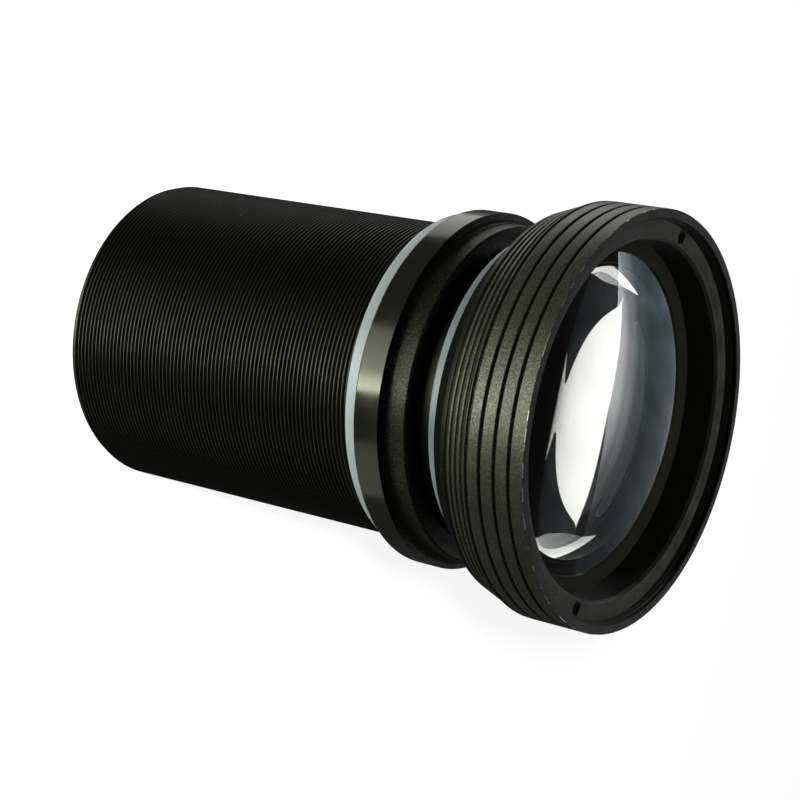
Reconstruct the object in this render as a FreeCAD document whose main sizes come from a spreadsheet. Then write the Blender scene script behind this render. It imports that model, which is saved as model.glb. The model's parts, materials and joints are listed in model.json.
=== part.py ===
import FreeCAD, Part
import math
import os
import Sketcher

# Projection lens: a threaded barrel with a mounting flange, a ribbed head on a
# threaded neck, and six glass elements held by spacers and retaining rings.
# The optical axis is +Z, the rear end rests on Z = 0 and the rim is on top.
# A threaded pair shares one nominal cylinder.

PARTS_FOLDER = "parts"

SIZES = {
    "barrel_length": 78.1,
    "barrel_radius": 32.5,
    "barrel_wall": 2.9,
    "barrel_chamfer": 0.6,
    "relief_depth": 0.7,
    "relief_run": 0.3,
    "flange_thickness": 6.0,
    "flange_reach": 3.9,
    "flange_chamfer": 0.5,
    "collar_length": 5.0,
    "collar_reach": 1.8,
    "collar_chamfer": 0.4,
    "cove_radius": 1.4,
    "web_thickness": 3.0,
    "web_reach": 2.4,
    "washer_clearance": 0.6,
    "washer_offset": 0.5,
    "washer_round": 0.6,
    "rear_washer_width": 1.7,
    "rear_washer_thickness": 3.4,
    "front_washer_width": 1.5,
    "front_washer_thickness": 3.4,
    "bare_neck_length": 6.9,
    "neck_step": 2.0,
    "neck_length": 38.0,
    "neck_wall": 2.6,
    "neck_end_gap": 4.0,
    "neck_chamfer": 0.5,
    "head_length": 24.0,
    "head_radius": 41.5,
    "head_back_step": 6.7,
    "shoulder_step": 2.7,
    "shoulder_length": 4.2,
    "rim_cylinder_length": 12.3,
    "rim_wall": 2.0,
    "rim_chamfer": 0.3,
    "head_thread_depth": 10.6,
    "fine_groove_count": 5,
    "fine_groove_width": 0.9,
    "fine_groove_depth": 0.4,
    "wide_groove_count": 3,
    "wide_groove_start": 3.1,
    "wide_groove_pitch": 3.15,
    "wide_groove_width": 0.8,
    "wide_groove_depth": 0.5,
    "front_ring_depth": 2.4,
    "front_ring_width": 4.2,
    "front_ring_chamfer": 0.6,
    "spanner_hole_inset": 2.0,
    "spanner_hole_diameter": 2.5,
    "spanner_hole_depth": 4.0,
    "spanner_hole_count": 2,
    "clamp_depth": 10.0,
    "clamp_thickness": 0.9,
    "clamp_overlap": 3.0,
    "clamp_clearance": 0.3,
    "lens_clearance": 0.05,
    "front_seat_step": 4.45,
    "front_lens_curve": 103.2,
    "front_lens_edge": 2.4,
    "front_air_gap": 1.5,
    "front_spacer_wall": 0.6,
    "second_seat_wall": 1.55,
    "second_lens_front_curve": 67.0,
    "second_lens_back_curve": 48.5,
    "second_lens_edge": 2.9,
    "middle_spacer_wall": 0.55,
    "third_lens_depth": 40.56,
    "third_lens_front_curve": 110.0,
    "third_lens_front_rim": 2.85,
    "third_lens_back_curve": 60.0,
    "third_lens_back_rim": 3.85,
    "third_lens_thickness": 3.5,
    "neck_ring_height": 4.0,
    "neck_ring_width": 2.9,
    "stop_thickness": 1.2,
    "stop_hole_radius": 17.0,
    "stop_bevel": 0.8,
    "cell_wall": 2.6,
    "cell_ledge_reach": 2.5,
    "cell_ledge_thickness": 2.0,
    "fourth_lens_thickness": 3.0,
    "doublet_curve": 55.0,
    "fifth_lens_edge": 1.9,
    "fifth_lens_back_curve": 75.0,
    "rear_spacer_wall": 2.45,
    "rear_lens_curve": 60.0,
    "rear_lens_edge": 3.6,
    "rear_ring_inset": 2.0,
    "rear_ring_height": 4.0,
    "rear_ring_width": 2.8,
    "lock_ring_inset": 2.7,
    "lock_ring_height": 3.3,
    "lock_ring_width": 3.6,
    "slot_count": 2,
    "slot_width": 2.5,
    "slot_depth": 1.5,
}

doc = FreeCAD.newDocument("projection_lens")
sheet = doc.addObject("Spreadsheet::Sheet", "Sizes")
for row, (alias, value) in enumerate(SIZES.items(), start=1):
    sheet.set(f"A{row}", alias)
    sheet.set(f"B{row}", str(value))
    sheet.setAlias(f"B{row}", alias)
doc.recompute()


def size(alias):
    """The expression that reads one size from the sheet."""
    return f"Sizes.{alias}"


def number(expression):
    """The present value of an expression."""
    return float(sheet.evalExpression(expression))


def sagitta(curve, reach):
    """How far a spherical surface falls away between the axis and a radius."""
    return f"({curve} - sqrt({curve} * {curve} - {reach} * {reach}))"


# Radii that follow from a mating radius, a wall or a clearance

barrel_bore_radius = f"({size('barrel_radius')} - {size('barrel_wall')})"
relief_radius = f"({size('barrel_radius')} - {size('relief_depth')})"
flange_radius = f"({size('barrel_radius')} + {size('flange_reach')})"
collar_radius = f"({size('barrel_radius')} + {size('collar_reach')})"
web_bore_radius = f"({barrel_bore_radius} - {size('web_reach')})"
neck_radius = f"({size('barrel_radius')} - {size('neck_step')})"
neck_bore_radius = f"({neck_radius} - {size('neck_wall')})"
rear_washer_bore = f"({size('barrel_radius')} + {size('washer_clearance')})"
rear_washer_radius = f"({rear_washer_bore} + {size('rear_washer_width')})"
front_washer_bore = f"({neck_radius} + {size('washer_clearance')})"
front_washer_radius = f"({front_washer_bore} + {size('front_washer_width')})"

head_back_radius = f"({size('head_radius')} - {size('head_back_step')})"
shoulder_radius = f"({size('head_radius')} - {size('shoulder_step')})"
head_thread_radius = f"({size('head_radius')} - {size('rim_wall')})"
front_ring_bore_radius = f"({head_thread_radius} - {size('front_ring_width')})"
spanner_circle_radius = f"({head_thread_radius} - {size('spanner_hole_inset')})"
front_seat_radius = f"({head_thread_radius} - {size('front_seat_step')})"
front_lens_radius = f"({front_seat_radius} - {size('lens_clearance')})"
clamp_radius = f"({head_thread_radius} - {size('clamp_clearance')})"
clamp_bore_radius = f"({front_lens_radius} - {size('clamp_overlap')})"

second_seat_radius = f"({neck_radius} - {size('second_seat_wall')})"
second_lens_radius = f"({second_seat_radius} - {size('lens_clearance')})"
front_spacer_bore_radius = f"({second_lens_radius} - {size('front_spacer_wall')})"
neck_glass_radius = f"({neck_bore_radius} - {size('lens_clearance')})"
middle_spacer_bore_radius = f"({neck_glass_radius} - {size('middle_spacer_wall')})"
third_front_reach = f"({neck_glass_radius} - {size('third_lens_front_rim')})"
third_back_reach = f"({neck_glass_radius} - {size('third_lens_back_rim')})"
neck_ring_bore_radius = f"({neck_bore_radius} - {size('neck_ring_width')})"

cell_bore_radius = f"({barrel_bore_radius} - {size('cell_wall')})"
cell_ledge_radius = f"({cell_bore_radius} - {size('cell_ledge_reach')})"
cell_glass_radius = f"({cell_bore_radius} - {size('lens_clearance')})"
rear_spacer_bore_radius = f"({cell_glass_radius} - {size('rear_spacer_wall')})"
rear_ring_bore_radius = f"({cell_bore_radius} - {size('rear_ring_width')})"
lock_ring_bore_radius = f"({barrel_bore_radius} - {size('lock_ring_width')})"

# Middle thicknesses of the domed elements, from their edges

front_lens_dome = sagitta(size("front_lens_curve"), front_lens_radius)
front_lens_thickness = f"({size('front_lens_edge')} + {front_lens_dome})"
second_front_dome = sagitta(size("second_lens_front_curve"), second_lens_radius)
second_back_dome = sagitta(size("second_lens_back_curve"), second_lens_radius)
second_lens_thickness = f"({size('second_lens_edge')} + {second_front_dome} + {second_back_dome})"
fifth_front_dome = sagitta(size("doublet_curve"), cell_glass_radius)
fifth_back_dome = sagitta(size("fifth_lens_back_curve"), cell_glass_radius)
fifth_lens_thickness = f"({size('fifth_lens_edge')} + {fifth_front_dome} + {fifth_back_dome})"
rear_lens_dome = sagitta(size("rear_lens_curve"), cell_glass_radius)
rear_lens_thickness = f"({size('rear_lens_edge')} + {rear_lens_dome})"

# Heights above the rest face, along the outside

flange_back = size("barrel_length")
rear_washer_back = f"({flange_back} - {size('rear_washer_thickness')})"
relief_bottom = f"({rear_washer_back} - {size('relief_run')})"
flange_top = f"({flange_back} + {size('flange_thickness')})"
collar_top = f"({flange_top} + {size('collar_length')})"
head_back = f"({collar_top} + {size('bare_neck_length')})"
front_washer_back = f"({head_back} - {size('front_washer_thickness')})"
shoulder_top = f"({head_back} + {size('shoulder_length')})"
rim = f"({head_back} + {size('head_length')})"
rim_cylinder_start = f"({rim} - {size('rim_cylinder_length')})"
thread_floor = f"({rim} - {size('head_thread_depth')})"
neck_end = f"({head_back} - {size('neck_length')})"
web_top = f"({neck_end} - {size('neck_end_gap')})"
web_back = f"({web_top} - {size('web_thickness')})"

# Heights of the front lens and its rings

front_ring_top = f"({rim} - {size('front_ring_depth')})"
clamp_contact = f"({rim} - {size('clamp_depth')})"
clamp_top = f"({clamp_contact} + {size('clamp_thickness')})"
front_sag = sagitta(size("front_lens_curve"), clamp_bore_radius)
front_apex = f"({clamp_contact} + {front_sag})"
front_lens_back = f"({front_apex} - {front_lens_thickness})"

# Heights of what the neck holds

second_apex = f"({front_lens_back} - {size('front_air_gap')})"
second_back = f"({second_apex} - {second_lens_thickness})"
ledge_sag = sagitta(size("second_lens_back_curve"), neck_bore_radius)
neck_ledge = f"({second_back} + {ledge_sag})"
front_spacer_sag = sagitta(size("second_lens_front_curve"), front_spacer_bore_radius)
front_spacer_bottom = f"({second_apex} - {front_spacer_sag})"
middle_spacer_sag = sagitta(size("second_lens_back_curve"), middle_spacer_bore_radius)
middle_spacer_top = f"({second_back} + {middle_spacer_sag})"
third_top = f"({rim} - {size('third_lens_depth')})"
third_front_sag = sagitta(size("third_lens_front_curve"), third_front_reach)
third_apex = f"({third_top} - {third_front_sag})"
third_back = f"({third_apex} - {size('third_lens_thickness')})"
third_back_sag = sagitta(size("third_lens_back_curve"), third_back_reach)
third_bottom = f"({third_back} - {third_back_sag})"
neck_ring_bottom = f"({third_bottom} - {size('neck_ring_height')})"

# Heights of what the rear cell holds

stop_bottom = f"({web_back} - {size('stop_thickness')})"
cell_ledge = f"({stop_bottom} - {size('cell_ledge_thickness')})"
doublet_apex = f"({cell_ledge} - {size('fourth_lens_thickness')})"
fifth_back = f"({doublet_apex} - {fifth_lens_thickness})"
fifth_sag = sagitta(size("fifth_lens_back_curve"), rear_spacer_bore_radius)
rear_spacer_top = f"({fifth_back} + {fifth_sag})"
lock_ring_bottom = size("lock_ring_inset")
cell_bottom = f"({lock_ring_bottom} + {size('lock_ring_height')})"
rear_ring_bottom = f"({cell_bottom} + {size('rear_ring_inset')})"
rear_lens_back = f"({rear_ring_bottom} + {size('rear_ring_height')})"
rear_apex = f"({rear_lens_back} + {rear_lens_thickness})"
rear_sag = sagitta(size("rear_lens_curve"), rear_spacer_bore_radius)
rear_spacer_bottom = f"({rear_apex} - {rear_sag})"


# Sketches

bases = {}


def new_body(label, base, sideways=None):
    """An empty body standing on its base height, moved sideways if it fits loosely."""
    body = doc.addObject("PartDesign::Body", label)
    body.Label = label
    bases[body.Name] = base
    if base != "0":
        body.setExpression("Placement.Base.z", base)
    if sideways:
        body.setExpression("Placement.Base.x", sideways)
    return body


def above_base(body, height):
    """A height over the rest face, seen from the base of one body."""
    base = bases[body.Name]
    if height == base:
        return "0"
    if base == "0":
        return height
    return f"({height} - {base})"


def new_sketch(body, name, role):
    """An empty sketch on one of the body's own origin planes."""
    sketch = body.newObject("Sketcher::SketchObject", name)
    for plane in body.Origin.OriginFeatures:
        if plane.Role == role:
            sketch.AttachmentSupport = [(plane, "")]
    sketch.MapMode = "FlatFace"
    return sketch


def point(across, up):
    return FreeCAD.Vector(across, up, 0)


def bind(sketch, constraint, expression):
    """Add a dimension whose value comes from the sheet."""
    index = sketch.addConstraint(constraint)
    sketch.setExpression(f"Constraints[{index}]", expression)


def set_across(sketch, edge, end, across):
    """Dimension the distance of an edge's end from the axis."""
    if across == "0":
        sketch.addConstraint(Sketcher.Constraint("PointOnObject", edge, end, -2))
        return
    distance = Sketcher.Constraint("DistanceX", -1, 1, edge, end, number(across))
    bind(sketch, distance, across)


def set_up(sketch, edge, end, up):
    """Dimension the height of an edge's end over the origin of the sketch."""
    if up == "0":
        sketch.addConstraint(Sketcher.Constraint("PointOnObject", edge, end, -1))
        return
    distance = Sketcher.Constraint("DistanceY", -1, 1, edge, end, number(up))
    bind(sketch, distance, up)


def draw_loop(sketch, corners):
    """Close a straight-sided figure through corners given as expressions."""
    first = sketch.GeometryCount
    count = len(corners)
    places = [point(number(across), number(up)) for across, up in corners]
    for index in range(count):
        sketch.addGeometry(Part.LineSegment(places[index], places[(index + 1) % count]))
    for index in range(count):
        after = first + (index + 1) % count
        sketch.addConstraint(Sketcher.Constraint("Coincident", first + index, 2, after, 1))
    for index, (across, up) in enumerate(corners):
        edge = first + index
        if index > 0 and across == corners[index - 1][0]:
            sketch.addConstraint(Sketcher.Constraint("Vertical", edge - 1))
        else:
            set_across(sketch, edge, 1, across)
        if index > 0 and up == corners[index - 1][1]:
            sketch.addConstraint(Sketcher.Constraint("Horizontal", edge - 1))
        else:
            set_up(sketch, edge, 1, up)


def ends_of(edge):
    """The (edge, end) pairs of an edge's start and finish."""
    return (edge, 1), (edge, 2)


def join(sketch, first, second):
    """Tie two (edge, end) corners together."""
    sketch.addConstraint(Sketcher.Constraint("Coincident", *first, *second))


# Features

def spin(body, sketch, kind):
    """Turn a half section about the optical axis, as stock or as a cut."""
    feature = body.newObject(f"PartDesign::{kind}", f"{sketch.Name}_turned")
    feature.Profile = sketch
    feature.ReferenceAxis = (sketch, ["V_Axis"])
    feature.Angle = 360.0
    body.Tip = feature
    doc.recompute()


def turned(label, base, corners, sideways=None):
    """A turned piece from the corners of its half section."""
    body = new_body(label, base, sideways)
    sketch = new_sketch(body, f"{label}_section", "XZ_Plane")
    draw_loop(sketch, [(across, above_base(body, up)) for across, up in corners])
    spin(body, sketch, "Revolution")
    return body


def circular_edges(body, circles):
    """Names of the edges that are circles of the given (radius, height)."""
    names = []
    edges = body.Tip.Shape.Edges
    for radius, height in circles:
        level = number(above_base(body, height))
        for index, edge in enumerate(edges, start=1):
            if not isinstance(edge.Curve, Part.Circle):
                continue
            centre = edge.Curve.Center
            right_size = abs(edge.Curve.Radius - number(radius)) < 0.001
            right_place = centre.distanceToPoint(FreeCAD.Vector(0, 0, level)) < 0.001
            if right_size and right_place:
                names.append(f"Edge{index}")
    return names


def dress(body, kind, dimension, expression, circles):
    """Fillet or chamfer circular edges."""
    before = body.Tip
    edges = circular_edges(body, circles)
    feature = body.newObject(f"PartDesign::{kind}", f"{body.Name}_{kind.lower()}")
    feature.Base = (before, edges)
    feature.setExpression(dimension, expression)
    body.Tip = feature
    doc.recompute()


def chamfer(body, expression, circles):
    dress(body, "Chamfer", "Size", expression, circles)


def fillet(body, expression, circles):
    dress(body, "Fillet", "Radius", expression, circles)


def cut_grooves(body, name, places, width, depth):
    """Turn V-shaped grooves into the outside at the given (radius, height)."""
    sketch = new_sketch(body, name, "XZ_Plane")
    for across, height in places:
        up = above_base(body, height)
        outside = f"({across} + {depth})"
        corners = [
            (f"({across} - {depth})", up),
            (outside, f"({up} + {width})"),
            (outside, f"({up} - {width})"),
        ]
        draw_loop(sketch, corners)
    spin(body, sketch, "Groove")


def repeat_round(body, feature, sketch, copies):
    """Repeat a cut round the optical axis."""
    pattern = body.newObject("PartDesign::PolarPattern", f"{sketch.Name}_round")
    pattern.Originals = [feature]
    pattern.Axis = (sketch, ["N_Axis"])
    pattern.Angle = 360.0
    pattern.setExpression("Occurrences", copies)
    body.Tip = pattern
    doc.recompute()


def rear_slots(body, inner, outer):
    """Two facing spanner slots across the rear face of a ring."""
    sketch = new_sketch(body, f"{body.Name}_slot", "XY_Plane")
    sketch.setExpression("AttachmentOffset.Base.z", size("slot_depth"))
    start = f"({inner} - {size('slot_width')})"
    finish = f"({outer} + {size('slot_width')})"
    near = number(start)
    far = number(finish)
    side = number(size("slot_width")) / 2
    corners = [point(near, -side), point(far, -side), point(far, side), point(near, side)]
    for index in range(4):
        sketch.addGeometry(Part.LineSegment(corners[index], corners[(index + 1) % 4]))
    for index in range(4):
        join(sketch, (index, 2), ((index + 1) % 4, 1))
    sketch.addConstraint(Sketcher.Constraint("Horizontal", 0))
    sketch.addConstraint(Sketcher.Constraint("Vertical", 1))
    sketch.addConstraint(Sketcher.Constraint("Horizontal", 2))
    sketch.addConstraint(Sketcher.Constraint("Symmetric", 0, 1, 2, 2, -1))
    set_across(sketch, 0, 1, start)
    set_across(sketch, 0, 2, finish)
    bind(sketch, Sketcher.Constraint("DistanceY", 1, 1, 1, 2, 2 * side), size("slot_width"))
    pocket = body.newObject("PartDesign::Pocket", f"{sketch.Name}_cut")
    pocket.Profile = sketch
    pocket.Type = "Length"
    pocket.setExpression("Length", f"2 * {size('slot_depth')}")
    body.Tip = pocket
    doc.recompute()
    repeat_round(body, pocket, sketch, size("slot_count"))


def draw_surface(sketch, form, curve, reach, pole, faces_front):
    """Draw one optical surface from the axis outwards.

    Returns the corner on the axis, the corner at the edge, and the edge height.
    """
    top = number(pole)
    far = number(reach)
    if form == "flat":
        edge = sketch.addGeometry(Part.LineSegment(point(0, top), point(far, top)))
        sketch.addConstraint(Sketcher.Constraint("Horizontal", edge))
        set_across(sketch, edge, 1, "0")
        set_up(sketch, edge, 1, pole)
        return (edge, 1), (edge, 2), top
    radius = number(curve)
    fall = radius - math.sqrt(radius * radius - far * far)
    swing = math.asin(far / radius)
    normal = FreeCAD.Vector(0, 0, 1)
    domed = (form == "convex") == faces_front
    if domed:
        circle = Part.Circle(point(0, top - radius), normal, radius)
        edge = sketch.addGeometry(Part.ArcOfCircle(circle, math.pi / 2 - swing, math.pi / 2))
        rim_corner, pole_corner = ends_of(edge)
        height = top - fall
    else:
        circle = Part.Circle(point(0, top + radius), normal, radius)
        edge = sketch.addGeometry(Part.ArcOfCircle(circle, -math.pi / 2, swing - math.pi / 2))
        pole_corner, rim_corner = ends_of(edge)
        height = top + fall
    sketch.addConstraint(Sketcher.Constraint("PointOnObject", edge, 3, -2))
    set_across(sketch, *pole_corner, "0")
    set_up(sketch, *pole_corner, pole)
    bind(sketch, Sketcher.Constraint("Radius", edge, radius), curve)
    return pole_corner, rim_corner, height


def glass(label, back_pole, radius, thickness, front, back):
    """A lens element whose origin is the pole of its rear surface.

    front and back are (form, curve, reach); where the reach is less than the
    radius of the element, a flat ground rim closes the face.
    """
    body = new_body(label, back_pole)
    sketch = new_sketch(body, f"{label}_section", "XZ_Plane")
    edge_radius = number(radius)
    poles = []
    corners = []
    heights = []
    for (form, curve, reach), pole, faces_front in ((front, thickness, True), (back, "0", False)):
        on_axis, corner, height = draw_surface(sketch, form, curve, reach, pole, faces_front)
        if reach != radius:
            set_across(sketch, *corner, reach)
            start = point(number(reach), height)
            ground = sketch.addGeometry(Part.LineSegment(start, point(edge_radius, height)))
            sketch.addConstraint(Sketcher.Constraint("Horizontal", ground))
            join(sketch, corner, (ground, 1))
            corner = (ground, 2)
        poles.append(on_axis)
        corners.append(corner)
        heights.append(height)
    wall = Part.LineSegment(point(edge_radius, heights[0]), point(edge_radius, heights[1]))
    edge = sketch.addGeometry(wall)
    sketch.addConstraint(Sketcher.Constraint("Vertical", edge))
    join(sketch, corners[0], (edge, 1))
    join(sketch, corners[1], (edge, 2))
    set_across(sketch, edge, 1, radius)
    middle = sketch.addGeometry(Part.LineSegment(point(0, number(thickness)), point(0, 0)))
    join(sketch, poles[0], (middle, 1))
    join(sketch, poles[1], (middle, 2))
    spin(body, sketch, "Revolution")


# Barrel and head

main_barrel = turned("main_barrel", "0", [
    (barrel_bore_radius, "0"),
    (size("barrel_radius"), "0"),
    (size("barrel_radius"), relief_bottom),
    (relief_radius, relief_bottom),
    (relief_radius, flange_back),
    (flange_radius, flange_back),
    (flange_radius, flange_top),
    (collar_radius, flange_top),
    (collar_radius, collar_top),
    (neck_radius, collar_top),
    (neck_radius, web_top),
    (web_bore_radius, web_top),
    (web_bore_radius, web_back),
    (barrel_bore_radius, web_back),
])
chamfer(main_barrel, size("barrel_chamfer"), [(size("barrel_radius"), "0")])
chamfer(main_barrel, size("flange_chamfer"), [(flange_radius, flange_back)])
chamfer(main_barrel, size("collar_chamfer"), [(collar_radius, collar_top)])
fillet(main_barrel, size("cove_radius"), [(collar_radius, flange_top)])

front_head = turned("front_head", neck_end, [
    (neck_bore_radius, neck_end),
    (neck_radius, neck_end),
    (neck_radius, head_back),
    (head_back_radius, head_back),
    (shoulder_radius, shoulder_top),
    (size("head_radius"), rim_cylinder_start),
    (size("head_radius"), rim),
    (head_thread_radius, rim),
    (head_thread_radius, thread_floor),
    (front_seat_radius, thread_floor),
    (front_seat_radius, front_lens_back),
    (second_seat_radius, front_lens_back),
    (second_seat_radius, neck_ledge),
    (neck_bore_radius, neck_ledge),
])
chamfer(front_head, size("rim_chamfer"), [
    (size("head_radius"), rim),
    (head_thread_radius, rim),
])
chamfer(front_head, size("neck_chamfer"), [(neck_radius, neck_end)])

cone_length = f"({rim_cylinder_start} - {shoulder_top})"
fine_places = []
for groove in range(1, int(number(size("fine_groove_count"))) + 1):
    share = f"({groove} / {size('fine_groove_count')})"
    groove_radius = f"({shoulder_radius} + {size('shoulder_step')} * {share})"
    fine_places.append((groove_radius, f"({shoulder_top} + {cone_length} * {share})"))
cut_grooves(front_head, "fine_grooves", fine_places,
            size("fine_groove_width"), size("fine_groove_depth"))

wide_places = []
for index in range(int(number(size("wide_groove_count")))):
    drop = f"({size('wide_groove_start')} + {index} * {size('wide_groove_pitch')})"
    wide_places.append((size("head_radius"), f"({rim} - {drop})"))
cut_grooves(front_head, "wide_grooves", wide_places,
            size("wide_groove_width"), size("wide_groove_depth"))

# Washers

rear_washer = turned("rear_washer", rear_washer_back, [
    (rear_washer_bore, rear_washer_back),
    (rear_washer_radius, rear_washer_back),
    (rear_washer_radius, flange_back),
    (rear_washer_bore, flange_back),
], size("washer_offset"))
fillet(rear_washer, size("washer_round"), [(rear_washer_radius, rear_washer_back)])

front_washer = turned("front_washer", front_washer_back, [
    (front_washer_bore, front_washer_back),
    (front_washer_radius, front_washer_back),
    (front_washer_radius, head_back),
    (front_washer_bore, head_back),
], size("washer_offset"))
fillet(front_washer, size("washer_round"), [(front_washer_radius, front_washer_back)])

# Front lens and its rings

front_retaining_ring = turned("front_retaining_ring", clamp_top, [
    (front_ring_bore_radius, clamp_top),
    (head_thread_radius, clamp_top),
    (head_thread_radius, front_ring_top),
    (front_ring_bore_radius, front_ring_top),
])
chamfer(front_retaining_ring, size("front_ring_chamfer"), [
    (front_ring_bore_radius, front_ring_top),
])
hole_sketch = new_sketch(front_retaining_ring, "spanner_hole", "XY_Plane")
ring_height = above_base(front_retaining_ring, front_ring_top)
hole_sketch.setExpression("AttachmentOffset.Base.z", ring_height)
hole_centre = point(number(spanner_circle_radius), 0)
hole_radius = number(size("spanner_hole_diameter")) / 2
hole_sketch.addGeometry(Part.Circle(hole_centre, FreeCAD.Vector(0, 0, 1), hole_radius))
hole_sketch.addConstraint(Sketcher.Constraint("PointOnObject", 0, 3, -1))
set_across(hole_sketch, 0, 3, spanner_circle_radius)
hole_diameter = Sketcher.Constraint("Diameter", 0, 2 * hole_radius)
bind(hole_sketch, hole_diameter, size("spanner_hole_diameter"))
doc.recompute()
hole = front_retaining_ring.newObject("PartDesign::Hole", "spanner_hole_drilled")
hole.Profile = hole_sketch
doc.recompute()
hole.DepthType = "Dimension"
hole.DrillPoint = "Flat"
hole.setExpression("Diameter", size("spanner_hole_diameter"))
hole.setExpression("Depth", size("spanner_hole_depth"))
front_retaining_ring.Tip = hole
doc.recompute()
repeat_round(front_retaining_ring, hole, hole_sketch, size("spanner_hole_count"))

glass_clamp_ring = turned("glass_clamp_ring", clamp_contact, [
    (clamp_bore_radius, clamp_contact),
    (clamp_radius, clamp_contact),
    (clamp_radius, clamp_top),
    (clamp_bore_radius, clamp_top),
])

glass(
    "front_lens", front_lens_back, front_lens_radius, front_lens_thickness,
    ("convex", size("front_lens_curve"), front_lens_radius),
    ("flat", None, front_lens_radius),
)

# Second and third lens in the neck

front_spacer = turned("front_spacer", front_spacer_bottom, [
    (front_spacer_bore_radius, front_spacer_bottom),
    (second_lens_radius, front_spacer_bottom),
    (second_lens_radius, front_lens_back),
    (front_spacer_bore_radius, front_lens_back),
])

glass(
    "second_lens", second_back, second_lens_radius, second_lens_thickness,
    ("convex", size("second_lens_front_curve"), second_lens_radius),
    ("convex", size("second_lens_back_curve"), second_lens_radius),
)

middle_spacer = turned("middle_spacer", third_top, [
    (middle_spacer_bore_radius, third_top),
    (neck_glass_radius, third_top),
    (neck_glass_radius, middle_spacer_top),
    (middle_spacer_bore_radius, middle_spacer_top),
])

glass(
    "third_lens", third_back, neck_glass_radius, size("third_lens_thickness"),
    ("concave", size("third_lens_front_curve"), third_front_reach),
    ("concave", size("third_lens_back_curve"), third_back_reach),
)

neck_retaining_ring = turned("neck_retaining_ring", neck_ring_bottom, [
    (neck_ring_bore_radius, neck_ring_bottom),
    (neck_bore_radius, neck_ring_bottom),
    (neck_bore_radius, third_bottom),
    (neck_ring_bore_radius, third_bottom),
])
rear_slots(neck_retaining_ring, neck_ring_bore_radius, neck_bore_radius)

# Aperture stop and rear cell

stop_ring = turned("stop_ring", stop_bottom, [
    (size("stop_hole_radius"), stop_bottom),
    (barrel_bore_radius, stop_bottom),
    (barrel_bore_radius, web_back),
    (size("stop_hole_radius"), web_back),
])
chamfer(stop_ring, size("stop_bevel"), [(size("stop_hole_radius"), stop_bottom)])

rear_cell = turned("rear_cell", cell_bottom, [
    (cell_bore_radius, cell_bottom),
    (barrel_bore_radius, cell_bottom),
    (barrel_bore_radius, stop_bottom),
    (cell_ledge_radius, stop_bottom),
    (cell_ledge_radius, cell_ledge),
    (cell_bore_radius, cell_ledge),
])

glass(
    "fourth_lens", doublet_apex, cell_glass_radius, size("fourth_lens_thickness"),
    ("flat", None, cell_glass_radius),
    ("concave", size("doublet_curve"), cell_glass_radius),
)

glass(
    "fifth_lens", fifth_back, cell_glass_radius, fifth_lens_thickness,
    ("convex", size("doublet_curve"), cell_glass_radius),
    ("convex", size("fifth_lens_back_curve"), cell_glass_radius),
)

rear_spacer = turned("rear_spacer", rear_spacer_bottom, [
    (rear_spacer_bore_radius, rear_spacer_bottom),
    (cell_glass_radius, rear_spacer_bottom),
    (cell_glass_radius, rear_spacer_top),
    (rear_spacer_bore_radius, rear_spacer_top),
])

glass(
    "rear_lens", rear_lens_back, cell_glass_radius, rear_lens_thickness,
    ("convex", size("rear_lens_curve"), cell_glass_radius),
    ("flat", None, cell_glass_radius),
)

rear_retaining_ring = turned("rear_retaining_ring", rear_ring_bottom, [
    (rear_ring_bore_radius, rear_ring_bottom),
    (cell_bore_radius, rear_ring_bottom),
    (cell_bore_radius, rear_lens_back),
    (rear_ring_bore_radius, rear_lens_back),
])
rear_slots(rear_retaining_ring, rear_ring_bore_radius, cell_bore_radius)

cell_lock_ring = turned("cell_lock_ring", lock_ring_bottom, [
    (lock_ring_bore_radius, lock_ring_bottom),
    (barrel_bore_radius, lock_ring_bottom),
    (barrel_bore_radius, cell_bottom),
    (lock_ring_bore_radius, cell_bottom),
])
rear_slots(cell_lock_ring, lock_ring_bore_radius, barrel_bore_radius)

# Checks and export

doc.recompute()
for item in doc.Objects:
    if "Invalid" in item.State or "Error" in item.State:
        raise RuntimeError(f"{item.Label} did not compute")

os.makedirs(PARTS_FOLDER, exist_ok=True)
for body in doc.Objects:
    if body.TypeId != "PartDesign::Body":
        continue
    shape = body.Shape
    if shape.isNull() or not shape.isValid() or len(shape.Solids) != 1:
        raise RuntimeError(f"{body.Label} is not one valid solid")
    shape.exportStep(f"{PARTS_FOLDER}/{body.Label}.step")
    print(f"{body.Label}: {shape.Volume:.1f} mm3")
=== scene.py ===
import json
import math

import bpy
from mathutils import Matrix, Vector

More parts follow.
